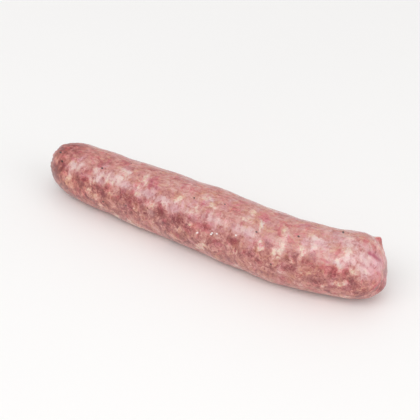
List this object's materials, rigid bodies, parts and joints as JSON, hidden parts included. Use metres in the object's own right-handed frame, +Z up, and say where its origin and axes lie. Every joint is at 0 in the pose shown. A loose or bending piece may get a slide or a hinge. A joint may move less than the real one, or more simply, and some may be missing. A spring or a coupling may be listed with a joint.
{
  "type": "raw sausage",
  "caption": "Raw coarse sausage lying on its side: pink mince and white fat in a thin moist casing, gently bent, with one domed end and one cut end.",
  "frame": {"origin": "on the surface the sausage rests on, under the middle of its bounding box", "axes": "+X along the sausage towards its cut end, +Y towards the far side, +Z up from the surface it rests on"},
  "size_m": [0.2074, 0.0458, 0.0351],
  "materials": {
    "raw_meat": "moist thin casing over coarse raw mince, satin with small wet glints"
  },
  "bodies": {
    "root": {"sausage": "raw_meat"}
  },
  "joints": []
}
